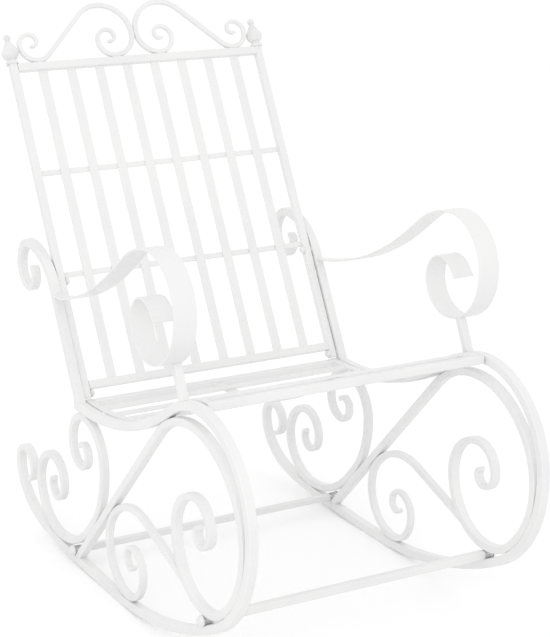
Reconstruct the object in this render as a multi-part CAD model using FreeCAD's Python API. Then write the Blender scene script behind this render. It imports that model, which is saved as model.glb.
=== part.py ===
import FreeCAD, Part
import math
import os

# A metal rocking chair. Sizes in millimetres, angles in degrees.
# The chair faces -y, z is up and the floor is z = 0.

# Side frames.
FRAME_SPACING = 540.0          # between the middle planes of the two side frames
FRAME_DEPTH = 16.0             # of the frame tubes, along x
CORNER = 2.0                   # rounding of the long edges of tubes and bars

# Rocker tube: seat rail, front loop, runner and rear hook in one bend.
ROCKER_WIDTH = 16.0
RUNNER_FRONT_RADIUS = 825.0    # of the front part of the runner
RUNNER_REAR_RADIUS = 3000.0    # of its flatter rear part
RUNNER_LOW_Y = 27.0            # lowest point, where the two parts meet
FRONT_Y = -452.7               # front-most point of the centre line
LOWER_LOOP_RADIUS = 203.0
UPPER_LOOP_RADIUS = 164.0
SEAT_DIP_RADIUS = 620.0
RAIL_Z = 311.7                 # centre line of the level rear end of the seat rail
HOOK_HEADING = 5.5             # slope of the runner where the rear hook begins
HOOK_BEND_ARCS = ((400.0, 11.5), (122.0, 35.0))
HOOK_ROLL_ARCS = ((66.0, 38.0), (34.0, 90.0), (33.0, 90.0), (26.0, 80.0))
HOOK_TIP = 9.0

# Brace tube: diagonal from the runner, then a scroll inside the front loop.
BRACE_WIDTH = 14.0
BRACE_FOOT_Y = 200.0           # where the diagonal meets the centre line of the runner
SHOULDER_RADIUS = 140.0        # bend between the top of the brace and the front loop
SHOULDER_END = 35.0            # its upper end, an angle above the level of its centre
HUG_START = 28.0               # the brace lies along the front loop between these two
HUG_END = 47.0                 # angles below the level of the loop's centre
BRACE_SCROLL_RADIUS = 105.0
BRACE_SCROLL_ARCS = ((75.0, 90.0), (46.5, 90.0), (29.0, 90.0), (18.0, 90.0), (11.0, 60.0))
BRACE_TIP = 8.0

# Rear C scroll: spine along the diagonal, one curl under the seat rail, one on the runner.
C_WIDTH = 14.0
C_DEPTH = 14.0
C_SPINE_RADIUS = 160.0
C_TOP_RADIUS = 76.0
C_TOP_ARCS = ((58.0, 90.0), (40.0, 90.0), (27.0, 90.0), (18.0, 90.0), (12.0, 60.0))
C_HEEL_RADIUS = 180.0
C_SOLE_ARCS = ((91.0, 55.0), (66.5, 116.0))
C_HEEL_ARCS = ((46.0, 90.0), (32.0, 90.0), (22.0, 90.0), (15.0, 50.0))
C_TIP = 8.0

# S scroll: rolls on the runner in front of the diagonal and reaches the brace scroll.
S_WIDTH = 12.0
S_DEPTH = 12.0
S_ROLL_RADIUS = 76.5
S_ROLL_ARCS = ((56.0, 90.0), (37.0, 90.0), (24.0, 90.0), (16.0, 90.0), (11.0, 60.0))
S_REACH_RADIUS = 125.0
S_REACH_TURN = 64.0
S_TIP = 7.0

# Upright on the rear end of the seat rail, with a rolled top.
UPRIGHT_WIDTH = 16.0
UPRIGHT_FOOT_Y = 171.7         # where its axis crosses the centre line of the seat rail
LEAN = 28.0                    # of the upright and of the backrest, from the vertical
UPRIGHT_STRAIGHT = 214.0
UPRIGHT_BEND_RADIUS = 120.0
UPRIGHT_ROLL_ARCS = ((46.0, 90.0), (38.0, 90.0), (27.0, 90.0), (30.0, 12.0), (9.0, 78.0))
UPRIGHT_TIP = 9.0

# Armrest strip and the post under it.
ARM_SPACING = 566.0            # between the middle planes of the two strips
ARM_STRIP = 40.0
ARM_THICKNESS = 3.0
ARM_REAR_Z = 494.3             # level of the strip's middle line on the axis of the upright
ARM_REAR_RISE = 6.0            # slope of the strip there
ARM_REAR_TAPER = 90.0          # run over which the outer side narrows to the upright
ARM_SAG_RADIUS = 646.0
ARM_SAG_TURN = 29.5
ARM_STRAIGHT = 52.0
ARM_CROWN_RADIUS = 151.5
ARM_FRONT_RADIUS = 90.0
ARM_BELLY_RADIUS = 93.0
ARM_CURL_ARCS = ((67.5, 45.0), (53.0, 45.0), (47.0, 45.0), (36.5, 45.0), (43.0, 50.0))
ARM_END_STRAIGHT = 18.0
ARM_POST_WIDTH = 14.0
ARM_POST_SLOPE = 65.0
ARM_POST_TOP_ANGLE = 21.0      # forward of the lowest point of the strip's belly

# Backrest panel between the uprights.
POST_WIDTH = 14.0
POST_SLIT = 1.5                # between upright and back post, filled by washers at the bolts
POST_RECESS = 6.0              # front of the posts behind the front of the uprights
BACK_Z = 349.7                 # level of the top of the bottom rail, on the posts' axis
BACK_HEIGHT = 583.0            # slat length, between bottom and top rail
BACK_RAIL = 15.0
POST_BELOW = 30.0              # reach of the posts below the top of the bottom rail
BACK_SLAT_COUNT = 8
BACK_SLAT_WIDTH = 17.5
BACK_SLAT_THICKNESS = 4.0
CROSS_BAR_HEIGHT = 10.0
CROSS_BAR_THICKNESS = 4.0
CROSS_BAR_LOWER = 197.0
CROSS_BAR_UPPER = 389.0
CREST_WIDTH = 9.0
CREST_DEPTH = 9.0
CREST_INNER_RADIUS = 42.0
CREST_TOP_RADIUS = 58.0
CREST_OUTER_RADIUS = 34.0
CREST_OUTER_X = 203.0
CREST_CURL_ARCS = ((30.0, 90.0), (21.0, 90.0), (14.0, 90.0), (9.5, 120.0))
CREST_TIP = 6.0
FINIAL_COLLAR_RADIUS = 11.5
FINIAL_COLLAR = 5.0
FINIAL_NECK_RADIUS = 7.5
FINIAL_NECK = 4.0
FINIAL_URN_RADIUS = 16.0
FINIAL_BELLY_RADIUS = 14.5      # halfway up the urn
FINIAL_URN = 15.0
FINIAL_CONE = 22.0
FINIAL_TOP_RADIUS = 4.0
FINIAL_BALL_RADIUS = 6.5

# Seat panel between the seat rails.
SEAT_TUBE = 14.0
SEAT_GAP = 3.0                 # between seat panel and seat rail, filled by spacers at the bolts
SEAT_RAISE = 1.5               # of the seat tubes' centre line above that of the seat rail
SEAT_REAR_Y = 178.0
SEAT_SLAT_COUNT = 9
SEAT_SLAT_WIDTH = 20.0
SEAT_SLAT_THICKNESS = 4.0
SEAT_SLAT_SINK = 1.0           # top of the slats below the top of the side bars
SEAT_MIDDLE_WIDTH = 20.0
SEAT_MIDDLE_THICKNESS = 4.0
SEAT_BOLT_GAPS = (1, 7)        # the seat bolts sit in front of these slats, counted from the rear

# Stretchers between the side frames.
FRONT_STRETCHER = 14.0
REAR_STRETCHER = 12.0
FRONT_SLEEVE_RADIUS = 8.0
REAR_SLEEVE_RADIUS = 7.5

# Bolts and washers.
BOLT_RADIUS = 3.0
BOLT_CLEARANCE = 0.3
BOLT_BITE = 10.0               # thread length in the far piece
BOLT_HEAD_RADIUS = 5.0
BOLT_HEAD = 4.5
BACK_CAP_RADIUS = 7.2          # domed caps of the backrest's bolts
STRETCHER_CAP_RADIUS = 9.5     # and of the stretchers' bolts
CAP_ROUNDNESS = 0.95           # height of a dome over its radius
CAP_COLLAR = 1.0               # thickness of the collar under a dome
CAP_COLLAR_RADIUS = 5.5
WASHER_RADIUS = 6.0
BACK_BOLT_LOWER = -22.5
BACK_BOLT_UPPER = 184.0

SIDES = (("left", -1.0), ("right", 1.0))
SIDE_PLANE = FreeCAD.Rotation(FreeCAD.Vector(1, 1, 1), 120)
X_AXIS = FreeCAD.Vector(1, 0, 0)

parts = {}


def cos(angle):
    return math.cos(math.radians(angle))


def sin(angle):
    return math.sin(math.radians(angle))


def far(start, heading, distance):
    """The point at a distance from a start point along a heading."""
    return (start[0] + distance * cos(heading), start[1] + distance * sin(heading))


def between(first, second):
    """Distance and heading from one point to another."""
    across = second[0] - first[0]
    up = second[1] - first[1]
    return math.hypot(across, up), math.degrees(math.atan2(up, across))


def reach(start, heading, centre, radius, nearest):
    """Distance along a line to where it crosses a circle: the first or the last crossing."""
    away, angle = between(centre, start)
    along = away * cos(angle - heading)
    root = math.sqrt(along ** 2 - away ** 2 + radius ** 2)
    return -along - root if nearest else -along + root


class Path:
    """A smooth run of straight pieces and arcs in a drawing plane."""

    def __init__(self, start, heading):
        self.start = start
        self.heading = heading
        self.pieces = []

    def line(self, length):
        self.pieces.append((self.start, self.heading, length, 0.0))
        self.start = far(self.start, self.heading, length)
        return self

    def arc(self, radius, turn):
        self.pieces.append((self.start, self.heading, radius, turn))
        self.start, self.heading = along_piece(self.pieces[-1], 1.0)
        return self

    def arcs(self, steps, side):
        for radius, turn in steps:
            self.arc(radius, side * turn)
        return self


def along_piece(piece, share):
    """Point and heading at a share of one piece of a path."""
    start, heading, size, turn = piece
    if turn == 0.0:
        return far(start, heading, size * share), heading
    side = math.copysign(90.0, turn)
    centre = far(start, heading + side, size)
    ahead = heading + turn * share
    return far(centre, ahead - side, size), ahead


def piece_length(piece):
    start, heading, size, turn = piece
    return size if turn == 0.0 else size * math.radians(abs(turn))


def path_length(path):
    return sum(piece_length(piece) for piece in path.pieces)


def stretch(path, first, last):
    """The part of a path between two distances from its start."""
    part = None
    passed = 0.0
    for piece in path.pieces:
        length = piece_length(piece)
        low = max(first - passed, 0.0) / length
        high = min(last - passed, length) / length
        if high - low > 1e-9:
            point, heading = along_piece(piece, low)
            part = part or Path(point, heading)
            if piece[3] == 0.0:
                part.line(length * (high - low))
            else:
                part.arc(piece[2], piece[3] * (high - low))
        passed += length
    return part


def shifted(path, left):
    """The same path moved sideways, to the left of its heading."""
    start, heading = along_piece(path.pieces[0], 0.0)
    moved = Path(far(start, heading + 90.0, left), heading)
    for start, heading, size, turn in path.pieces:
        if turn == 0.0:
            moved.line(size)
        else:
            moved.arc(size - math.copysign(left, turn), turn)
    return moved


def joined(first, second):
    """One path that runs backwards along the first path, then along the second."""
    back = Path(first.start, first.heading + 180.0)
    for start, heading, size, turn in reversed(first.pieces):
        if turn == 0.0:
            back.line(size)
        else:
            back.arc(size, -turn)
    for start, heading, size, turn in second.pieces:
        if turn == 0.0:
            back.line(size)
        else:
            back.arc(size, turn)
    return back


def flat(point, depth=0.0):
    return FreeCAD.Vector(point[0], point[1], depth)


def wire(path):
    edges = []
    for piece in path.pieces:
        ends = [flat(along_piece(piece, share)[0]) for share in (0.0, 0.5, 1.0)]
        if piece[3] == 0.0:
            edges.append(Part.LineSegment(ends[0], ends[2]).toShape())
        else:
            edges.append(Part.Arc(ends[0], ends[1], ends[2]).toShape())
    return Part.Wire(edges)


def section(point, heading, width, depth, corner):
    """Rounded rectangle across a path: width in the drawing plane, depth out of it."""
    edges = []
    inset = corner * (1.0 - math.sqrt(0.5))
    left = heading + 90.0

    def at(across, out):
        return flat(far(point, left, across), out)

    half = width / 2.0
    deep = depth / 2.0
    signs = ((1.0, 1.0), (-1.0, 1.0), (-1.0, -1.0), (1.0, -1.0))
    for index, (a, b) in enumerate(signs):
        swap = index % 2 == 1
        enter = at(a * half, b * (deep - corner)) if not swap else at(a * (half - corner), b * deep)
        leave = at(a * (half - corner), b * deep) if not swap else at(a * half, b * (deep - corner))
        middle = at(a * (half - inset), b * (deep - inset))
        edges.append(Part.Arc(enter, middle, leave).toShape())
        c, d = signs[(index + 1) % 4]
        following = at(c * (half - corner), d * deep) if not swap else at(c * half, d * (deep - corner))
        edges.append(Part.LineSegment(leave, following).toShape())
    return Part.Wire(edges)


def sweep(path, first_width, last_width, depth, corner):
    """A bar along a path whose width runs evenly from the first width to the last."""
    pipe = Part.BRepOffsetAPI.MakePipeShell(wire(path))
    pipe.setBiNormalMode(FreeCAD.Vector(0, 0, 1))
    point, heading = along_piece(path.pieces[0], 0.0)
    pipe.add(section(point, heading, first_width, depth, corner), False, False)
    if last_width != first_width:
        pipe.add(section(path.start, path.heading, last_width, depth, corner), False, False)
    pipe.build()
    pipe.makeSolid()
    return pipe.shape()


def bar(path, width, depth, corner=CORNER):
    return sweep(path, width, width, depth, corner)


def across(path, thickness, length, corner=CORNER):
    """A bar out of the drawing plane. Its section lies along a path, and its long edges are rounded."""
    left = shifted(path, thickness / 2.0)
    right = shifted(path, -thickness / 2.0)
    starts = [along_piece(side.pieces[0], 0.0)[0] for side in (left, right)]
    ends = [left.start, right.start]
    edges = wire(left).Edges
    edges.append(Part.LineSegment(flat(ends[0]), flat(ends[1])).toShape())
    edges.extend(reversed(wire(right).Edges))
    edges.append(Part.LineSegment(flat(starts[1]), flat(starts[0])).toShape())
    plain = Part.Face(Part.Wire(edges)).extrude(FreeCAD.Vector(0, 0, length))
    corners = [Part.Vertex(flat(point, length / 2.0)) for point in starts + ends]
    long_edges = [edge for edge in plain.Edges
                  if min(edge.distToShape(corner_point)[0] for corner_point in corners) < 1e-6]
    rounded = plain.makeFillet(corner, long_edges)
    rounded.translate(FreeCAD.Vector(0, 0, -length / 2.0))
    return rounded


def tapered(path, width, depth, tip, first_taper, last_taper):
    """A bar of even width whose first and last stretch narrow to a tip."""
    total = path_length(path)
    solid = bar(stretch(path, first_taper, total - last_taper), width, depth)
    if first_taper > 0.0:
        solid = solid.fuse(sweep(stretch(path, 0.0, first_taper), tip, width, depth, CORNER))
    if last_taper > 0.0:
        solid = solid.fuse(sweep(stretch(path, total - last_taper, total), width, tip, depth, CORNER))
    return solid.Solids[0]


def arcs_length(steps):
    return sum(radius * math.radians(turn) for radius, turn in steps)


def disc(centre, radius, depth):
    return Part.makeCylinder(radius, depth, flat(centre, -depth / 2.0), FreeCAD.Vector(0, 0, 1))


def on_side(shape, x):
    """Stand a shape drawn in the plane (y, z) up at a distance x from the middle of the chair."""
    placed = shape.copy()
    placed.Placement = FreeCAD.Placement(FreeCAD.Vector(x, 0, 0), SIDE_PLANE).multiply(placed.Placement)
    return placed


# Rocker tube. The runner, the lower and the upper arc of the front loop and the dip of the
# seat rail touch one another smoothly, so their centres follow from the radii.
half_rocker = ROCKER_WIDTH / 2.0
frame_x = FRAME_SPACING / 2.0
front_centre = (RUNNER_LOW_Y, RUNNER_FRONT_RADIUS + half_rocker)
rear_centre = (RUNNER_LOW_Y, RUNNER_REAR_RADIUS + half_rocker)
lower_y = FRONT_Y + LOWER_LOOP_RADIUS
dive = math.degrees(math.asin((RUNNER_LOW_Y - lower_y) / (RUNNER_FRONT_RADIUS - LOWER_LOOP_RADIUS)))
lower_centre = (lower_y, front_centre[1] - (RUNNER_FRONT_RADIUS - LOWER_LOOP_RADIUS) * cos(dive))
upper_centre = (FRONT_Y + UPPER_LOOP_RADIUS, lower_centre[1])
climb = math.degrees(math.acos((RAIL_Z + SEAT_DIP_RADIUS - upper_centre[1])
                               / (SEAT_DIP_RADIUS + UPPER_LOOP_RADIUS)))
dip_centre = (upper_centre[0] + (SEAT_DIP_RADIUS + UPPER_LOOP_RADIUS) * sin(climb),
              RAIL_Z + SEAT_DIP_RADIUS)
rail_top = RAIL_Z + half_rocker
rail_end_y = UPRIGHT_FOOT_Y + half_rocker * sin(LEAN) / cos(LEAN) + UPRIGHT_WIDTH / 2.0 / cos(LEAN)

rocker_path = Path((rail_end_y, RAIL_Z), 180.0)
rocker_path.line(rail_end_y - dip_centre[0])
rocker_path.arc(SEAT_DIP_RADIUS, -climb)
rocker_path.arc(UPPER_LOOP_RADIUS, climb)
rocker_path.arc(UPPER_LOOP_RADIUS, 90.0)
rocker_path.arc(LOWER_LOOP_RADIUS, 90.0 - dive)
rocker_path.arc(RUNNER_FRONT_RADIUS, dive)
rocker_path.arc(RUNNER_REAR_RADIUS, HOOK_HEADING)
rocker_path.arcs(HOOK_BEND_ARCS, 1.0)
rocker_path.arcs(HOOK_ROLL_ARCS, 1.0)
rocker = tapered(rocker_path, ROCKER_WIDTH, FRAME_DEPTH, HOOK_TIP, 0.0, arcs_length(HOOK_ROLL_ARCS))

# Brace tube. It starts on the runner, touches the dip of the seat rail from below, lies along
# the front loop for a while and rolls up inside it.
half_brace = BRACE_WIDTH / 2.0
hug_radius = LOWER_LOOP_RADIUS - half_rocker - half_brace
shoulder_centre = far(lower_centre, 180.0 + HUG_START, hug_radius - SHOULDER_RADIUS)
shoulder_top = far(shoulder_centre, 180.0 - SHOULDER_END, SHOULDER_RADIUS)
dip_away, dip_heading = between(dip_centre, shoulder_top)
dip_touch = SEAT_DIP_RADIUS + half_rocker + half_brace
brace_top_radius = ((dip_away ** 2 - dip_touch ** 2)
                    / (2.0 * (dip_touch - dip_away * cos(dip_heading + SHOULDER_END))))
brace_centre = far(shoulder_top, -SHOULDER_END, brace_top_radius)
foot_drop = math.sqrt(RUNNER_REAR_RADIUS ** 2 - (BRACE_FOOT_Y - RUNNER_LOW_Y) ** 2)
brace_foot = (BRACE_FOOT_Y, rear_centre[1] - foot_drop)
foot_away, foot_heading = between(brace_foot, brace_centre)
diagonal = foot_heading - math.degrees(math.asin(brace_top_radius / foot_away))
scroll_centre = far(lower_centre, 180.0 + HUG_END, hug_radius - BRACE_SCROLL_RADIUS)

brace_path = Path(brace_foot, diagonal)
brace_path.line(math.sqrt(foot_away ** 2 - brace_top_radius ** 2))
brace_path.arc(brace_top_radius, 270.0 - SHOULDER_END - diagonal)
brace_path.arc(SHOULDER_RADIUS, SHOULDER_END + HUG_START)
brace_path.arc(hug_radius, HUG_END - HUG_START)
brace_path.arc(BRACE_SCROLL_RADIUS, 180.0 - HUG_END)
brace_path.arcs(BRACE_SCROLL_ARCS, 1.0)
brace = tapered(brace_path, BRACE_WIDTH, FRAME_DEPTH, BRACE_TIP, 0.0, arcs_length(BRACE_SCROLL_ARCS))
runner_ring = disc(rear_centre, RUNNER_REAR_RADIUS + half_rocker, FRAME_DEPTH * 2.0)
runner_ring = runner_ring.cut(disc(rear_centre, RUNNER_REAR_RADIUS - half_rocker, FRAME_DEPTH * 2.0))
brace = brace.cut(runner_ring).Solids[0]

# Rear C scroll. Its spine lies on the upper side of the diagonal, its top curl touches the
# seat rail from below and its heel touches the runner from above.
half_c = C_WIDTH / 2.0
c_side = diagonal - 90.0
c_line = far(brace_foot, c_side, half_brace + half_c)
c_top_z = RAIL_Z - half_rocker - half_c - C_TOP_RADIUS
c_top_line = far(c_line, c_side, C_SPINE_RADIUS)
c_top_up = (c_top_z - c_top_line[1]) / sin(diagonal)
c_heel_line = far(c_line, c_side, C_HEEL_RADIUS)
c_heel_up = reach(c_heel_line, diagonal, rear_centre,
                  RUNNER_REAR_RADIUS - half_rocker - half_c - C_HEEL_RADIUS, True)
c_heel_centre = far(c_heel_line, diagonal, c_heel_up)
c_heel_heading = between(rear_centre, c_heel_centre)[1] + 90.0
c_start = far(c_line, diagonal, c_top_up)

c_top_path = Path(c_start, diagonal)
c_top_path.arc(C_SPINE_RADIUS, 90.0 - diagonal)
c_top_path.arc(C_TOP_RADIUS, -90.0)
c_top_path.arcs(C_TOP_ARCS, -1.0)
c_heel_path = Path(c_start, diagonal - 180.0)
c_heel_path.line(c_top_up - c_heel_up)
c_heel_path.arc(C_HEEL_RADIUS, c_heel_heading - diagonal + 180.0)
c_heel_path.arcs(C_SOLE_ARCS, 1.0)
c_heel_path.arcs(C_HEEL_ARCS, 1.0)
c_scroll = tapered(joined(c_top_path, c_heel_path), C_WIDTH, C_DEPTH, C_TIP,
                   arcs_length(C_TOP_ARCS), arcs_length(C_HEEL_ARCS))

# S scroll. Its roll touches the runner and the lower side of the diagonal, and its arm runs
# forward until it meets the brace scroll.
half_s = S_WIDTH / 2.0
s_side = diagonal + 90.0
s_line = far(brace_foot, s_side, half_brace + half_s + S_ROLL_RADIUS)
s_away = RUNNER_FRONT_RADIUS - half_rocker - half_s - S_ROLL_RADIUS
s_up = reach(s_line, diagonal, front_centre, s_away, True)
s_centre = far(s_line, diagonal, s_up)
s_start = far(s_centre, c_side, S_ROLL_RADIUS)
s_contact = between(front_centre, s_centre)[1]

s_roll_path = Path(s_start, diagonal - 180.0)
s_roll_path.arc(S_ROLL_RADIUS, s_contact + 90.0 - diagonal)
s_roll_path.arcs(S_ROLL_ARCS, -1.0)
s_reach_path = Path(s_start, diagonal)
s_reach_path.arc(S_REACH_RADIUS, S_REACH_TURN)
scroll_edge = BRACE_SCROLL_RADIUS + half_brace
s_reach_path.line(reach(s_reach_path.start, s_reach_path.heading, scroll_centre,
                        scroll_edge - half_s, True))
s_scroll = tapered(joined(s_reach_path, s_roll_path), S_WIDTH, S_DEPTH, S_TIP,
                   0.0, arcs_length(S_ROLL_ARCS))
s_scroll = s_scroll.cut(disc(scroll_centre, scroll_edge, FRAME_DEPTH * 2.0)).Solids[0]

# Upright, standing on the end of the seat rail.
rise = 90.0 - LEAN
upright_foot = (UPRIGHT_FOOT_Y, RAIL_Z)
upright_path = Path(upright_foot, rise)
upright_path.line(UPRIGHT_STRAIGHT)
upright_path.arc(UPRIGHT_BEND_RADIUS, -rise)
upright_path.arcs(UPRIGHT_ROLL_ARCS, -1.0)
upright = tapered(upright_path, UPRIGHT_WIDTH, FRAME_DEPTH, UPRIGHT_TIP,
                  0.0, arcs_length(UPRIGHT_ROLL_ARCS))
below_rail = Part.makeBox(FRAME_SPACING, FRAME_SPACING, FRAME_DEPTH * 2.0,
                          flat((UPRIGHT_FOOT_Y - frame_x, rail_top - FRAME_SPACING), -FRAME_DEPTH))
upright = upright.cut(below_rail).Solids[0]

# Armrest strip, from the front of the upright to its rolled front end.
arm_x = ARM_SPACING / 2.0
half_arm = ARM_THICKNESS / 2.0
arm_axis = UPRIGHT_FOOT_Y + (ARM_REAR_Z - RAIL_Z) * sin(LEAN) / cos(LEAN)
arm_rear = (arm_axis, ARM_REAR_Z)
arm_path = Path(arm_rear, 180.0 - ARM_REAR_RISE)
arm_path.line(UPRIGHT_WIDTH / 2.0 / cos(LEAN))
arm_path.arc(ARM_SAG_RADIUS, -ARM_SAG_TURN)
arm_path.line(ARM_STRAIGHT)
arm_path.arc(ARM_CROWN_RADIUS, ARM_REAR_RISE + ARM_SAG_TURN)
arm_path.arc(ARM_FRONT_RADIUS, 90.0)
belly_centre = far(arm_path.start, arm_path.heading + 90.0, ARM_BELLY_RADIUS)
arm_path.arc(ARM_BELLY_RADIUS, 90.0)
arm_path.arcs(ARM_CURL_ARCS, 1.0)
arm_path.line(ARM_END_STRAIGHT)
arm = bar(arm_path, ARM_THICKNESS, ARM_STRIP, ARM_THICKNESS / 4.0)
behind_front = Path(upright_foot, rise)
behind_front.line(FRAME_SPACING)
arm = arm.cut(bar(behind_front, UPRIGHT_WIDTH, ARM_STRIP * 2.0))

# The outer side of the strip narrows towards the upright and ends level with its outer face.
arm_front = arm_axis - UPRIGHT_WIDTH / 2.0 / cos(LEAN)
taper_front = arm_front - ARM_REAR_TAPER
outer_face = frame_x + FRAME_DEPTH / 2.0 - arm_x
taper_corners = ((taper_front, ARM_STRIP / 2.0), (arm_front, outer_face), (arm_axis, outer_face),
                 (arm_axis, ARM_STRIP), (taper_front, ARM_STRIP), (taper_front, ARM_STRIP / 2.0))
taper_face = Part.Face(Part.makePolygon([flat((y, 0.0), out) for y, out in taper_corners]))
arm = arm.cut(taper_face.extrude(FreeCAD.Vector(0, ARM_REAR_Z * 2.0, 0))).Solids[0]
arms = {"right": arm, "left": arm.mirror(FreeCAD.Vector(0, 0, 0), FreeCAD.Vector(0, 0, 1))}

# Arm post, between the front loop and the belly of the armrest.
arm_post_top = far(belly_centre, 270.0 - ARM_POST_TOP_ANGLE, ARM_BELLY_RADIUS)
arm_post_down = ARM_POST_SLOPE + 180.0
arm_post_path = Path(arm_post_top, arm_post_down)
arm_post_path.line(reach(arm_post_top, arm_post_down, upper_centre, UPPER_LOOP_RADIUS, True))
arm_post = bar(arm_post_path, ARM_POST_WIDTH, ARM_POST_WIDTH)
arm_post = arm_post.cut(disc(belly_centre, ARM_BELLY_RADIUS + half_arm, ARM_STRIP * 2.0))
arm_post = arm_post.cut(disc(upper_centre, UPPER_LOOP_RADIUS + half_rocker, ARM_STRIP * 2.0)).Solids[0]

for side, sign in SIDES:
    parts["rocker_tube_" + side] = on_side(rocker, sign * frame_x)
    parts["brace_tube_" + side] = on_side(brace, sign * frame_x)
    parts["rear_c_scroll_" + side] = on_side(c_scroll, sign * frame_x)
    parts["runner_s_scroll_" + side] = on_side(s_scroll, sign * frame_x)
    parts["upright_" + side] = on_side(upright, sign * frame_x)
    parts["armrest_" + side] = on_side(arms[side], sign * arm_x)
    parts["arm_post_" + side] = on_side(arm_post, sign * frame_x)

# Backrest panel. It is drawn flat: x across, second axis up the posts, third axis to the front;
# then it is leaned back. The posts stand just inside the uprights.
inner_face = frame_x - FRAME_DEPTH / 2.0
post_x = inner_face - POST_SLIT - POST_WIDTH / 2.0
panel_half = post_x - POST_WIDTH / 2.0
post_shift = POST_RECESS + POST_WIDTH / 2.0 - UPRIGHT_WIDTH / 2.0
upright_at_back = far(upright_foot, rise, (BACK_Z - RAIL_Z) / sin(rise))
back_origin = far(upright_at_back, rise - 90.0, post_shift)
back_lean = FreeCAD.Placement(FreeCAD.Vector(0, back_origin[0], back_origin[1]),
                              FreeCAD.Rotation(X_AXIS, rise))
top_rail_top = BACK_HEIGHT + BACK_RAIL


def leaned(shape):
    placed = shape.copy()
    placed.Placement = back_lean.multiply(placed.Placement)
    return placed


def upright_bar(x, low, high, width, thickness, front):
    """A bar up the backrest; front is the place of its middle towards the front."""
    path = Path((x, low), 90.0).line(high - low)
    solid = bar(path, width, thickness, min(CORNER, thickness / 4.0))
    solid.translate(FreeCAD.Vector(0, 0, front))
    return leaned(solid)


def level_bar(reach_x, middle, height, thickness, front):
    """A bar across the backrest."""
    path = Path((-reach_x, middle), 0.0).line(2.0 * reach_x)
    solid = bar(path, height, thickness, min(CORNER, thickness / 4.0))
    solid.translate(FreeCAD.Vector(0, 0, front))
    return leaned(solid)


for side, sign in SIDES:
    parts["back_post_" + side] = upright_bar(sign * post_x, -POST_BELOW, top_rail_top,
                                             POST_WIDTH, POST_WIDTH, 0.0)
half_rail = BACK_RAIL / 2.0
parts["back_bottom_rail"] = level_bar(panel_half, -half_rail, BACK_RAIL, POST_WIDTH, 0.0)
parts["back_top_rail"] = level_bar(panel_half, BACK_HEIGHT + half_rail, BACK_RAIL, POST_WIDTH, 0.0)
slat_gap = (2.0 * panel_half - BACK_SLAT_COUNT * BACK_SLAT_WIDTH) / (BACK_SLAT_COUNT + 1)
slat_pitch = slat_gap + BACK_SLAT_WIDTH
for index in range(BACK_SLAT_COUNT):
    slat_x = -panel_half + slat_gap + BACK_SLAT_WIDTH / 2.0 + index * slat_pitch
    parts["back_slat_%d" % (index + 1)] = upright_bar(slat_x, 0.0, BACK_HEIGHT, BACK_SLAT_WIDTH,
                                                      BACK_SLAT_THICKNESS, 0.0)
cross_front = -(BACK_SLAT_THICKNESS + CROSS_BAR_THICKNESS) / 2.0
for name, middle in (("lower", CROSS_BAR_LOWER), ("upper", CROSS_BAR_UPPER)):
    parts["back_cross_bar_" + name] = level_bar(panel_half, middle, CROSS_BAR_HEIGHT,
                                                CROSS_BAR_THICKNESS, cross_front)

# Crest scrolls. Each one rests on the top rail with its inner and its outer curl and touches
# its twin in the middle plane; a straight piece links the two curls.
half_crest = CREST_WIDTH / 2.0
crest_base = top_rail_top + half_crest
crest_level = crest_base + CREST_INNER_RADIUS
crest_top_centre = (half_crest + CREST_TOP_RADIUS, crest_level)
crest_outer_centre = (CREST_OUTER_X, crest_base + CREST_OUTER_RADIUS)
link_away, link_heading = between(crest_top_centre, crest_outer_centre)
crest_radii = CREST_TOP_RADIUS + CREST_OUTER_RADIUS
link_slope = link_heading - 90.0 + math.degrees(math.acos(crest_radii / link_away))

crest_middle = (half_crest, crest_level)
crest_inner_path = Path(crest_middle, 270.0)
crest_inner_path.arc(CREST_INNER_RADIUS, 90.0)
crest_inner_path.arcs(CREST_CURL_ARCS, 1.0)
crest_outer_path = Path(crest_middle, 90.0)
crest_outer_path.arc(CREST_TOP_RADIUS, link_slope - 90.0)
crest_outer_path.line(math.sqrt(link_away ** 2 - crest_radii ** 2))
crest_outer_path.arc(CREST_OUTER_RADIUS, -link_slope)
crest_outer_path.arcs(CREST_CURL_ARCS, 1.0)
crest = tapered(joined(crest_inner_path, crest_outer_path), CREST_WIDTH, CREST_DEPTH, CREST_TIP,
                arcs_length(CREST_CURL_ARCS), arcs_length(CREST_CURL_ARCS))
parts["crest_scroll_right"] = leaned(crest)
parts["crest_scroll_left"] = leaned(crest.mirror(FreeCAD.Vector(0, 0, 0), X_AXIS))


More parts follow.
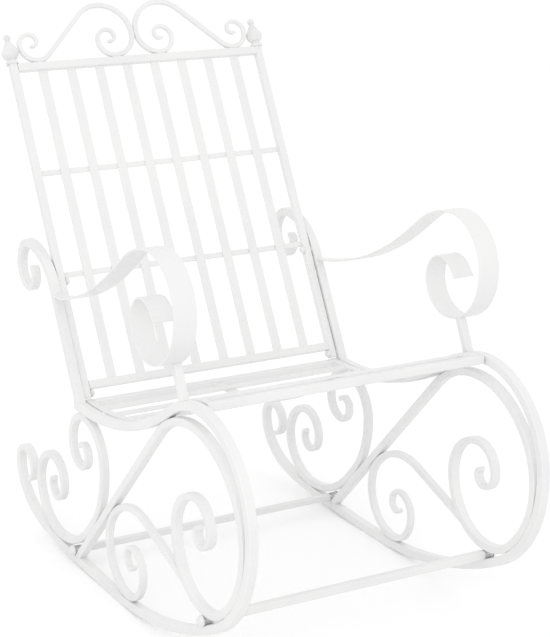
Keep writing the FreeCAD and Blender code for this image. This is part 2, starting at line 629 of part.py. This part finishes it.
# Finials: collar, urn, cone and ball turned about the axis of each post.
def finial():
    neck_top = FINIAL_COLLAR + FINIAL_NECK
    urn_top = neck_top + FINIAL_URN
    cone_top = urn_top + FINIAL_CONE
    ball_low = math.sqrt(FINIAL_BALL_RADIUS ** 2 - FINIAL_TOP_RADIUS ** 2)
    ball_middle = cone_top + ball_low
    tip = ball_middle + FINIAL_BALL_RADIUS
    corners = ((0.0, 0.0), (FINIAL_COLLAR_RADIUS, 0.0), (FINIAL_COLLAR_RADIUS, FINIAL_COLLAR),
               (FINIAL_NECK_RADIUS, FINIAL_COLLAR), (FINIAL_NECK_RADIUS, neck_top))
    edges = [Part.LineSegment(flat(a), flat(b)).toShape() for a, b in zip(corners, corners[1:])]
    belly = flat((FINIAL_BELLY_RADIUS, neck_top + FINIAL_URN / 2.0))
    rim = flat((FINIAL_URN_RADIUS, urn_top))
    ball_foot = flat((FINIAL_TOP_RADIUS, cone_top))
    peak = flat((0.0, tip))
    edges.append(Part.Arc(flat(corners[-1]), belly, rim).toShape())
    edges.append(Part.LineSegment(rim, ball_foot).toShape())
    edges.append(Part.Arc(ball_foot, flat((FINIAL_BALL_RADIUS, ball_middle)), peak).toShape())
    edges.append(Part.LineSegment(peak, flat(corners[0])).toShape())
    face = Part.Face(Part.Wire(edges))
    return face.revolve(FreeCAD.Vector(0, 0, 0), FreeCAD.Vector(0, 1, 0), 360)


for side, sign in SIDES:
    turned = finial()
    turned.translate(FreeCAD.Vector(sign * post_x, top_rail_top, 0))
    parts["finial_" + side] = leaned(turned)

# Seat panel. It follows the curve of the seat rails, a little higher.
seat_path = shifted(rocker_path, -SEAT_RAISE)
seat_start = rail_end_y - SEAT_REAR_Y
front_run = sum(piece_length(piece) for piece in seat_path.pieces[:3])
seat_x = inner_face - SEAT_GAP - SEAT_TUBE / 2.0
seat_half = seat_x - SEAT_TUBE / 2.0
seat_front = (upper_centre[0], upper_centre[1] + UPPER_LOOP_RADIUS + SEAT_RAISE)

front_path = Path((seat_front[0] + SEAT_TUBE / 2.0, seat_front[1]), 180.0).line(SEAT_TUBE)
front_rail = across(front_path, SEAT_TUBE, 2.0 * (seat_half + SEAT_TUBE))
front_corner = (seat_front[0] - SEAT_TUBE / 2.0, seat_front[1] - SEAT_TUBE)
front_block = Part.makeBox(SEAT_TUBE, SEAT_TUBE * 2.0, 2.0 * FRAME_SPACING,
                           flat(front_corner, -FRAME_SPACING))
parts["seat_front_rail"] = on_side(front_rail, 0.0)
parts["seat_rear_rail"] = on_side(across(stretch(seat_path, seat_start, seat_start + SEAT_TUBE),
                                         SEAT_TUBE, 2.0 * seat_half), 0.0)
side_bar = bar(stretch(seat_path, seat_start, front_run), SEAT_TUBE, SEAT_TUBE).cut(front_block).Solids[0]
for side, sign in SIDES:
    parts["seat_side_bar_" + side] = on_side(side_bar, sign * seat_x)

slat_shift = SEAT_SLAT_SINK + SEAT_SLAT_THICKNESS / 2.0 - SEAT_TUBE / 2.0
slat_path = shifted(seat_path, slat_shift)
first_slat = seat_start + SEAT_TUBE
slat_run = sum(piece_length(piece) for piece in slat_path.pieces[:3]) - SEAT_TUBE / 2.0 - first_slat
seat_gap_run = (slat_run - SEAT_SLAT_COUNT * SEAT_SLAT_WIDTH) / (SEAT_SLAT_COUNT + 1)
slat_step = seat_gap_run + SEAT_SLAT_WIDTH
for index in range(SEAT_SLAT_COUNT):
    start = first_slat + seat_gap_run + index * slat_step
    slat = across(stretch(slat_path, start, start + SEAT_SLAT_WIDTH), SEAT_SLAT_THICKNESS, 2.0 * seat_half,
                  SEAT_SLAT_THICKNESS / 4.0)
    parts["seat_slat_%d" % (index + 1)] = on_side(slat, 0.0)
middle_path = shifted(slat_path, (SEAT_SLAT_THICKNESS + SEAT_MIDDLE_THICKNESS) / 2.0)
middle_run = sum(piece_length(piece) for piece in middle_path.pieces[:3])
middle_bar = bar(stretch(middle_path, first_slat, middle_run), SEAT_MIDDLE_THICKNESS, SEAT_MIDDLE_WIDTH,
                 SEAT_MIDDLE_THICKNESS / 4.0)
parts["seat_middle_bar"] = on_side(middle_bar.cut(front_block).Solids[0], 0.0)

# Stretchers. The front one is held by sleeves wedged between runner and brace scroll, the rear
# one by sleeves behind the feet of the diagonals, on top of the runner.
sleeve_out = RUNNER_FRONT_RADIUS - half_rocker - FRONT_SLEEVE_RADIUS
scroll_out = scroll_edge + FRONT_SLEEVE_RADIUS
centre_away, centre_heading = between(front_centre, scroll_centre)
sleeve_turn = math.degrees(math.acos((sleeve_out ** 2 + centre_away ** 2 - scroll_out ** 2)
                                     / (2.0 * sleeve_out * centre_away)))
front_middle = far(front_centre, centre_heading + sleeve_turn, sleeve_out)
rear_line = far(brace_foot, c_side, half_brace + REAR_SLEEVE_RADIUS)
rear_up = reach(rear_line, diagonal, rear_centre,
                RUNNER_REAR_RADIUS - half_rocker - REAR_SLEEVE_RADIUS, True)
rear_middle = far(rear_line, diagonal, rear_up)


def stretcher(middle, size):
    path = Path((middle[0] - size / 2.0, middle[1]), 0.0).line(size)
    return on_side(across(path, size, 2.0 * inner_face), 0.0)


parts["front_stretcher"] = stretcher(front_middle, FRONT_STRETCHER)
parts["rear_stretcher"] = stretcher(rear_middle, REAR_STRETCHER)


# Bolts, washers and the holes they need.
def rod(x, toward, length, y, z, radius):
    return Part.makeCylinder(radius, length, FreeCAD.Vector(x, y, z), FreeCAD.Vector(toward, 0, 0))


def ring(x, toward, length, y, z, radius):
    hole = rod(x, toward, length, y, z, BOLT_RADIUS + BOLT_CLEARANCE)
    return rod(x, toward, length, y, z, radius).cut(hole)


def hexagon_head(x, toward, y, z):
    corners = []
    for angle in range(0, 361, 60):
        corner = far((y, z), angle, BOLT_HEAD_RADIUS)
        corners.append(FreeCAD.Vector(x, corner[0], corner[1]))
    face = Part.Face(Part.makePolygon(corners))
    return face.extrude(FreeCAD.Vector(toward * BOLT_HEAD, 0, 0))


def domed_cap(x, toward, y, z, radius):
    """A domed cap on a thin collar."""
    height = radius * CAP_ROUNDNESS
    ball_radius = (radius ** 2 + height ** 2) / (2.0 * height)
    foot = x + toward * CAP_COLLAR
    ball = Part.makeSphere(ball_radius, FreeCAD.Vector(foot + toward * (height - ball_radius), y, z))
    dome = ball.common(rod(foot, toward, radius * 2.0, y, z, radius * 2.0))
    return dome.fuse(rod(x, toward, CAP_COLLAR, y, z, CAP_COLLAR_RADIUS))


def drill(name, hole):
    parts[name] = parts[name].cut(hole).Solids[0]


def back_point(height):
    """Place in the side plane of a back bolt, halfway between the axes of post and upright."""
    return far(far(back_origin, rise, height), rise + 90.0, post_shift / 2.0)


def gap_point(slat):
    """Place in the side plane of a seat bolt, in the middle of the gap in front of a slat."""
    start = first_slat + slat * slat_step + seat_gap_run / 2.0
    gap = stretch(slat_path, start, start + seat_gap_run)
    return far(gap.pieces[0][0], gap.pieces[0][1] + 90.0, -slat_shift)


groups = {"back_bolts": [], "back_washers": [], "seat_bolts": [], "seat_spacers": [],
          "stretcher_bolts": [], "stretcher_sleeves": []}
for side, sign in SIDES:
    for height in (BACK_BOLT_LOWER, BACK_BOLT_UPPER):
        y, z = back_point(height)
        head_x = sign * panel_half
        length = POST_WIDTH + POST_SLIT + BOLT_BITE
        shank = rod(head_x, sign, length, y, z, BOLT_RADIUS)
        groups["back_bolts"].append(domed_cap(head_x, -sign, y, z, BACK_CAP_RADIUS).fuse(shank))
        washer_x = sign * (inner_face - POST_SLIT)
        groups["back_washers"].append(ring(washer_x, sign, POST_SLIT, y, z, WASHER_RADIUS))
        drill("back_post_" + side, rod(head_x, sign, length, y, z, BOLT_RADIUS + BOLT_CLEARANCE))
        drill("upright_" + side, shank)
    for slat in SEAT_BOLT_GAPS:
        y, z = gap_point(slat)
        head_x = sign * seat_half
        length = SEAT_TUBE + SEAT_GAP + BOLT_BITE
        shank = rod(head_x, sign, length, y, z, BOLT_RADIUS)
        groups["seat_bolts"].append(hexagon_head(head_x, -sign, y, z).fuse(shank))
        spacer_x = sign * (inner_face - SEAT_GAP)
        groups["seat_spacers"].append(ring(spacer_x, sign, SEAT_GAP, y, z, WASHER_RADIUS))
        drill("seat_side_bar_" + side, rod(head_x, sign, length, y, z, BOLT_RADIUS + BOLT_CLEARANCE))
        drill("rocker_tube_" + side, shank)
    head_x = sign * (inner_face + FRAME_DEPTH)
    length = FRAME_DEPTH + 2.0 * BOLT_BITE
    for name, middle, sleeve in (("front", front_middle, FRONT_SLEEVE_RADIUS),
                                 ("rear", rear_middle, REAR_SLEEVE_RADIUS)):
        y, z = middle
        shank = rod(head_x, -sign, length, y, z, BOLT_RADIUS)
        groups["stretcher_bolts"].append(domed_cap(head_x, sign, y, z, STRETCHER_CAP_RADIUS).fuse(shank))
        groups["stretcher_sleeves"].append(ring(head_x, -sign, FRAME_DEPTH, y, z, sleeve))
        drill(name + "_stretcher", shank)

for name, pieces in groups.items():
    parts[name] = Part.makeCompound([solid for piece in pieces for solid in piece.Solids])

# At rest the centre of mass hangs straight below the centre of that arc of the runners which
# touches the floor, and the origin lies on the floor under the middle of the bounding box.
mass = 0.0
moment = FreeCAD.Vector(0, 0, 0)
for shape in parts.values():
    for solid in shape.Solids:
        mass += solid.Volume
        moment += solid.CenterOfMass * solid.Volume
resting = front_centre if moment.y / mass < RUNNER_LOW_Y else rear_centre
pivot = FreeCAD.Vector(0, resting[0], resting[1])
hang = moment / mass - pivot
pitch = math.degrees(math.atan2(hang.y, -hang.z))
for shape in parts.values():
    shape.rotate(pivot, X_AXIS, -pitch)
box = FreeCAD.BoundBox()
for shape in parts.values():
    box.add(shape.optimalBoundingBox(False))
shift = FreeCAD.Vector(-(box.XMin + box.XMax) / 2.0, -(box.YMin + box.YMax) / 2.0, -box.ZMin)

os.makedirs("parts", exist_ok=True)
for name, shape in parts.items():
    shape.translate(shift)
    shape.exportStep("parts/%s.step" % name)
    print(name, shape.isValid(), len(shape.Solids), round(shape.Volume))
print("pitch", pitch, "about", pivot, "shift", shift)
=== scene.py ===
import math

import bpy
from mathutils import Matrix, Vector

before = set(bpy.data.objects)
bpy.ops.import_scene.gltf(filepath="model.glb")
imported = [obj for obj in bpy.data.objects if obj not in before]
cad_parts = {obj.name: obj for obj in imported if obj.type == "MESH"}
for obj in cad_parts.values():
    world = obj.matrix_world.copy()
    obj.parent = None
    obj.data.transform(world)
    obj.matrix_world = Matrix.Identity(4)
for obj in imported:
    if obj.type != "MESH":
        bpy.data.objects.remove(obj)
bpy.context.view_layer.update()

# Side frames: square steel tubes bent into a runner, a front loop and a seat rail, with a brace, a C
# scroll, an S scroll, an upright and an arm post welded in. Each frame is powder coated after welding.
GRAIN_FINENESS = 4.5  # how many times finer the paint's grain is than its orange peel
GRAIN_HEIGHT = 0.22   # of the grain, where that of the orange peel is 1


def make_coating_group():
    """Cured powder paint: a broad noise turns one white into a second, slightly greyer white, and the
    height is a soft noise of 3 to 4 mm, the orange peel, with a finer grain of under 1 mm on top."""
    group = bpy.data.node_groups.new("powder_coating", "ShaderNodeTree")
    sockets = group.interface
    sockets.new_socket("White", in_out="INPUT", socket_type="NodeSocketColor")
    sockets.new_socket("Grey White", in_out="INPUT", socket_type="NodeSocketColor")
    sockets.new_socket("Patch Scale", in_out="INPUT", socket_type="NodeSocketFloat")
    sockets.new_socket("Peel Scale", in_out="INPUT", socket_type="NodeSocketFloat")
    sockets.new_socket("Smooth", in_out="INPUT", socket_type="NodeSocketFloat")
    sockets.new_socket("Dull", in_out="INPUT", socket_type="NodeSocketFloat")
    sockets.new_socket("Color", in_out="OUTPUT", socket_type="NodeSocketColor")
    sockets.new_socket("Roughness", in_out="OUTPUT", socket_type="NodeSocketFloat")
    sockets.new_socket("Height", in_out="OUTPUT", socket_type="NodeSocketFloat")
    nodes, wires = group.nodes, group.links.new
    given = nodes.new("NodeGroupInput")
    result = nodes.new("NodeGroupOutput")
    place = nodes.new("ShaderNodeTexCoord")

    patches = nodes.new("ShaderNodeTexNoise")
    patches.inputs["Detail"].default_value = 3.0
    patches.inputs["Roughness"].default_value = 0.55
    wires(place.outputs["Object"], patches.inputs["Vector"])
    wires(given.outputs["Patch Scale"], patches.inputs["Scale"])
    spread = nodes.new("ShaderNodeMapRange")
    spread.interpolation_type = "SMOOTHSTEP"
    spread.inputs["From Min"].default_value = 0.36
    spread.inputs["From Max"].default_value = 0.66
    wires(patches.outputs["Fac"], spread.inputs["Value"])

    tone = nodes.new("ShaderNodeMix")
    tone.data_type = "RGBA"
    wires(spread.outputs["Result"], tone.inputs["Factor"])
    wires(given.outputs["White"], tone.inputs["A"])
    wires(given.outputs["Grey White"], tone.inputs["B"])
    wires(tone.outputs["Result"], result.inputs["Color"])

    peel = nodes.new("ShaderNodeTexNoise")
    peel.inputs["Detail"].default_value = 1.0
    wires(place.outputs["Object"], peel.inputs["Vector"])
    wires(given.outputs["Peel Scale"], peel.inputs["Scale"])
    grain_scale = nodes.new("ShaderNodeMath")
    grain_scale.operation = "MULTIPLY"
    grain_scale.inputs[1].default_value = GRAIN_FINENESS
    wires(given.outputs["Peel Scale"], grain_scale.inputs[0])
    grain = nodes.new("ShaderNodeTexNoise")
    grain.inputs["Detail"].default_value = 2.0
    wires(place.outputs["Object"], grain.inputs["Vector"])
    wires(grain_scale.outputs["Value"], grain.inputs["Scale"])
    height = nodes.new("ShaderNodeMath")
    height.operation = "MULTIPLY_ADD"
    height.inputs[1].default_value = GRAIN_HEIGHT
    wires(grain.outputs["Fac"], height.inputs[0])
    wires(peel.outputs["Fac"], height.inputs[2])
    wires(height.outputs["Value"], result.inputs["Height"])

    gloss = nodes.new("ShaderNodeMix")
    gloss.data_type = "FLOAT"
    wires(peel.outputs["Fac"], gloss.inputs["Factor"])
    wires(given.outputs["Smooth"], gloss.inputs["A"])
    wires(given.outputs["Dull"], gloss.inputs["B"])
    wires(gloss.outputs["Result"], result.inputs["Roughness"])
    return group


coating = make_coating_group()


def coated_steel(name, white, grey_white, patch_scale, peel_scale, smooth, dull, peel_depth):
    """Paint on steel: the coating's colour and roughness, and a bump of the given depth in metres."""
    material = bpy.data.materials.new(name)
    material.use_nodes = True
    nodes, wires = material.node_tree.nodes, material.node_tree.links.new
    shader = nodes["Principled BSDF"]
    shader.inputs["IOR"].default_value = 1.5
    shader.inputs["Coat Weight"].default_value = 0.15
    shader.inputs["Coat Roughness"].default_value = 0.25
    paint = nodes.new("ShaderNodeGroup")
    paint.node_tree = coating
    paint.inputs["White"].default_value = (*white, 1.0)
    paint.inputs["Grey White"].default_value = (*grey_white, 1.0)
    paint.inputs["Patch Scale"].default_value = patch_scale
    paint.inputs["Peel Scale"].default_value = peel_scale
    paint.inputs["Smooth"].default_value = smooth
    paint.inputs["Dull"].default_value = dull
    relief = nodes.new("ShaderNodeBump")
    relief.inputs["Strength"].default_value = 0.5
    relief.inputs["Distance"].default_value = peel_depth
    wires(paint.outputs["Color"], shader.inputs["Base Color"])
    wires(paint.outputs["Roughness"], shader.inputs["Roughness"])
    wires(paint.outputs["Height"], relief.inputs["Height"])
    wires(relief.outputs["Normal"], shader.inputs["Normal"])
    return material


def finish_nodes(material, names):
    """Gives each named CAD node that one material in all its slots."""
    for name in names:
        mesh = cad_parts[name].data
        mesh.materials.clear()
        mesh.materials.append(material)


def both_sides(*names):
    """Each name twice, once for the left and once for the right half of the chair."""
    return [f"{name}_{side}" for name in names for side in ("left", "right")]


tube_paint = coated_steel(
    "white_tube_paint", white=(0.88, 0.88, 0.875), grey_white=(0.85, 0.85, 0.85),
    patch_scale=9.0, peel_scale=330.0, smooth=0.30, dull=0.42, peel_depth=0.0002)
finish_nodes(tube_paint, both_sides("rocker_tube", "brace_tube", "upright", "arm_post"))

scroll_paint = coated_steel(
    "white_scroll_paint", white=(0.88, 0.88, 0.875), grey_white=(0.845, 0.845, 0.845),
    patch_scale=14.0, peel_scale=360.0, smooth=0.32, dull=0.45, peel_depth=0.0002)
finish_nodes(scroll_paint, both_sides("rear_c_scroll", "runner_s_scroll"))

# Armrests: one wide flat strip of steel each, rolled into a loop at the front and welded to the
# upright and the arm post. The broad strip takes a flatter, slightly glossier coat.
strip_paint = coated_steel(
    "white_strip_paint", white=(0.885, 0.885, 0.88), grey_white=(0.865, 0.865, 0.865),
    patch_scale=6.0, peel_scale=260.0, smooth=0.26, dull=0.38, peel_depth=0.00015)
finish_nodes(strip_paint, both_sides("armrest"))

# Backrest: a welded panel of two posts, two rails, flat slats and two thin bars behind the slats.
# It is painted as one piece and bolted between the uprights.
panel_paint = coated_steel(
    "white_panel_paint", white=(0.88, 0.88, 0.875), grey_white=(0.855, 0.855, 0.855),
    patch_scale=7.0, peel_scale=310.0, smooth=0.30, dull=0.42, peel_depth=0.0002)
BACK_SLAT_COUNT = 8
back_slats = [f"back_slat_{number}" for number in range(1, BACK_SLAT_COUNT + 1)]
finish_nodes(panel_paint, both_sides("back_post") + back_slats + [
    "back_bottom_rail", "back_top_rail", "back_cross_bar_lower", "back_cross_bar_upper"])

# Crest: two scrolls of thin bar that meet over the top rail, and a small cast finial on each post.
# The casting is a little rougher under the paint than rolled steel is.
cast_paint = coated_steel(
    "white_cast_paint", white=(0.87, 0.87, 0.865), grey_white=(0.80, 0.80, 0.80),
    patch_scale=30.0, peel_scale=240.0, smooth=0.36, dull=0.52, peel_depth=0.0004)
finish_nodes(scroll_paint, both_sides("crest_scroll"))
finish_nodes(cast_paint, both_sides("finial"))

# Seat: curved side bars, a front and a rear rail, flat slats across and one bar under the slats.
# It is welded and painted as one panel and bolted between the seat rails.
SEAT_SLAT_COUNT = 9
seat_slats = [f"seat_slat_{number}" for number in range(1, SEAT_SLAT_COUNT + 1)]
finish_nodes(panel_paint, both_sides("seat_side_bar") + seat_slats + [
    "seat_front_rail", "seat_rear_rail", "seat_middle_bar", "seat_spacers"])

# Stretchers: two straight bars that tie the side frames together near the floor. Each end butts
# against a short sleeve in the side frame, and a capped bolt runs through the sleeve.
finish_nodes(tube_paint, ["front_stretcher", "rear_stretcher"])

# Fasteners: zinc-plated bolts, caps and washers, and the sleeves of both stretchers, all left bare
# of paint. The bright plating shows fine pale crystals, and the sleeves are duller and greyer.


def zinc_plate(name, light, dark, metallic, crystal_scale):
    """Plated steel: cells of a Voronoi pattern mix a light and a dark grey, and set the roughness."""
    material = bpy.data.materials.new(name)
    material.use_nodes = True
    nodes, wires = material.node_tree.nodes, material.node_tree.links.new
    shader = nodes["Principled BSDF"]
    shader.inputs["Metallic"].default_value = metallic
    place = nodes.new("ShaderNodeTexCoord")
    crystals = nodes.new("ShaderNodeTexVoronoi")
    crystals.inputs["Scale"].default_value = crystal_scale
    wires(place.outputs["Object"], crystals.inputs["Vector"])
    split = nodes.new("ShaderNodeSeparateColor")
    wires(crystals.outputs["Color"], split.inputs["Color"])
    tone = nodes.new("ShaderNodeMix")
    tone.data_type = "RGBA"
    tone.inputs["A"].default_value = (*light, 1.0)
    tone.inputs["B"].default_value = (*dark, 1.0)
    wires(split.outputs["Red"], tone.inputs["Factor"])
    wires(tone.outputs["Result"], shader.inputs["Base Color"])
    sheen = nodes.new("ShaderNodeMapRange")
    sheen.inputs["To Min"].default_value = 0.34
    sheen.inputs["To Max"].default_value = 0.52
    wires(split.outputs["Green"], sheen.inputs["Value"])
    wires(sheen.outputs["Result"], shader.inputs["Roughness"])
    return material


bright_zinc = zinc_plate(
    "bright_zinc_plate", light=(0.88, 0.88, 0.89), dark=(0.79, 0.79, 0.80),
    metallic=0.3, crystal_scale=700.0)
finish_nodes(bright_zinc, ["back_bolts", "back_washers", "seat_bolts", "stretcher_bolts"])
grey_zinc = zinc_plate(
    "grey_zinc_plate", light=(0.70, 0.70, 0.71), dark=(0.58, 0.58, 0.59),
    metallic=0.5, crystal_scale=500.0)
finish_nodes(grey_zinc, ["stretcher_sleeves"])

# Studio floor: a plain white sweep under the chair. It is almost as bright as the background to
# the camera, and keeps the chair's soft shadow.
FLOOR_REACH = 12.0
FLOOR_GREY = 0.9   # of the matt paint that takes the shadow
FLOOR_LIFT = 0.17  # glow that is added where the floor is seen, to bring it near the background


def floor_sheet(name, reach):
    """A flat square at floor height, from minus to plus its reach in X and Y."""
    mesh = bpy.data.meshes.new(name)
    corners = [(-reach, -reach, 0.0), (reach, -reach, 0.0), (reach, reach, 0.0), (-reach, reach, 0.0)]
    mesh.from_pydata(corners, [], [(0, 1, 2, 3)])
    sheet = bpy.data.objects.new(name, mesh)
    bpy.context.scene.collection.objects.link(sheet)
    return sheet


def seen_directly(nodes, wires):
    """A value of 1 for rays from the camera, off a glossy surface or through a clear one, else 0."""
    ray = nodes.new("ShaderNodeLightPath")
    camera_or_glossy = nodes.new("ShaderNodeMath")
    camera_or_glossy.operation = "MAXIMUM"
    wires(ray.outputs["Is Camera Ray"], camera_or_glossy.inputs[0])
    wires(ray.outputs["Is Glossy Ray"], camera_or_glossy.inputs[1])
    any_of_three = nodes.new("ShaderNodeMath")
    any_of_three.operation = "MAXIMUM"
    wires(camera_or_glossy.outputs["Value"], any_of_three.inputs[0])
    wires(ray.outputs["Is Transmission Ray"], any_of_three.inputs[1])
    return any_of_three.outputs["Value"]


floor = floor_sheet("studio_floor", FLOOR_REACH)
floor_white = bpy.data.materials.new("studio_floor_white")
floor_white.use_nodes = True
floor_nodes, floor_wires = floor_white.node_tree.nodes, floor_white.node_tree.links.new
floor_nodes.remove(floor_nodes["Principled BSDF"])
floor_matt = floor_nodes.new("ShaderNodeBsdfDiffuse")
floor_matt.inputs["Color"].default_value = (FLOOR_GREY, FLOOR_GREY, FLOOR_GREY, 1.0)
floor_glow = floor_nodes.new("ShaderNodeEmission")
floor_lift = floor_nodes.new("ShaderNodeMath")
floor_lift.operation = "MULTIPLY"
floor_lift.inputs[1].default_value = FLOOR_LIFT
floor_sum = floor_nodes.new("ShaderNodeAddShader")
floor_wires(seen_directly(floor_nodes, floor_wires), floor_lift.inputs[0])
floor_wires(floor_lift.outputs["Value"], floor_glow.inputs["Strength"])
floor_wires(floor_matt.outputs["BSDF"], floor_sum.inputs[0])
floor_wires(floor_glow.outputs["Emission"], floor_sum.inputs[1])
floor_wires(floor_sum.outputs["Shader"], floor_nodes["Material Output"].inputs["Surface"])
floor.data.materials.append(floor_white)

# Studio light: an even white surround that does most of the work, and one broad, weak lamp beside
# the camera. The camera sees the surround as plain white.
SURROUND_LIGHT = 0.95  # how strongly the surround lights the chair
SURROUND_SEEN = 1.0    # how bright the camera and the reflections see it
world = bpy.data.worlds.new("white_surround")
bpy.context.scene.world = world
world.use_nodes = True
sky_nodes, sky_wires = world.node_tree.nodes, world.node_tree.links.new
sky_light = sky_nodes["Background"]
sky_light.inputs["Color"].default_value = (1.0, 1.0, 1.0, 1.0)
sky_light.inputs["Strength"].default_value = SURROUND_LIGHT
sky_seen = sky_nodes.new("ShaderNodeBackground")
sky_seen.inputs["Color"].default_value = (1.0, 1.0, 1.0, 1.0)
sky_seen.inputs["Strength"].default_value = SURROUND_SEEN
sky_pick = sky_nodes.new("ShaderNodeMixShader")
sky_wires(seen_directly(sky_nodes, sky_wires), sky_pick.inputs["Fac"])
sky_wires(sky_light.outputs["Background"], sky_pick.inputs[1])
sky_wires(sky_seen.outputs["Background"], sky_pick.inputs[2])
sky_wires(sky_pick.outputs["Shader"], sky_nodes["World Output"].inputs["Surface"])


def soft_lamp(name, place, aim, size, power):
    """A square lamp at a place, turned so that it shines at the aim."""
    light = bpy.data.lights.new(name, "AREA")
    light.shape = "SQUARE"
    light.size = size
    light.energy = power
    lamp = bpy.data.objects.new(name, light)
    lamp.location = place
    lamp.rotation_euler = (Vector(aim) - Vector(place)).to_track_quat("-Z", "Y").to_euler()
    bpy.context.scene.collection.objects.link(lamp)
    return lamp


soft_lamp("front_lamp", place=(-1.9, -2.8, 2.0), aim=(0.0, 0.0, 0.5), size=2.0, power=16.0)

# Camera: the photograph's viewpoint, found from the two matching side frames. It stands level in
# the frame that the chair was measured in, and tips with the chair onto its resting pitch.
REST_PITCH = math.radians(0.38521)
VIEW_AZIMUTH = math.radians(-29.488)
VIEW_ELEVATION = math.radians(15.910)
CAMERA_PLACE = (-1.5019, -2.73507, 1.36540)
camera_data = bpy.data.cameras.new("photo_camera")
camera_data.sensor_width = 36.0
camera_data.lens = 105.04
camera_data.shift_x = -0.0017
camera_data.shift_y = 0.0104
camera_data.clip_end = 60.0
camera = bpy.data.objects.new("photo_camera", camera_data)
bpy.context.scene.collection.objects.link(camera)
level_turn = Matrix.Rotation(VIEW_AZIMUTH, 4, "Z") @ Matrix.Rotation(math.pi / 2 - VIEW_ELEVATION, 4, "X")
camera.matrix_world = Matrix.Translation(CAMERA_PLACE) @ Matrix.Rotation(-REST_PITCH, 4, "X") @ level_turn
bpy.context.scene.camera = camera
bpy.context.scene.view_settings.view_transform = "Standard"
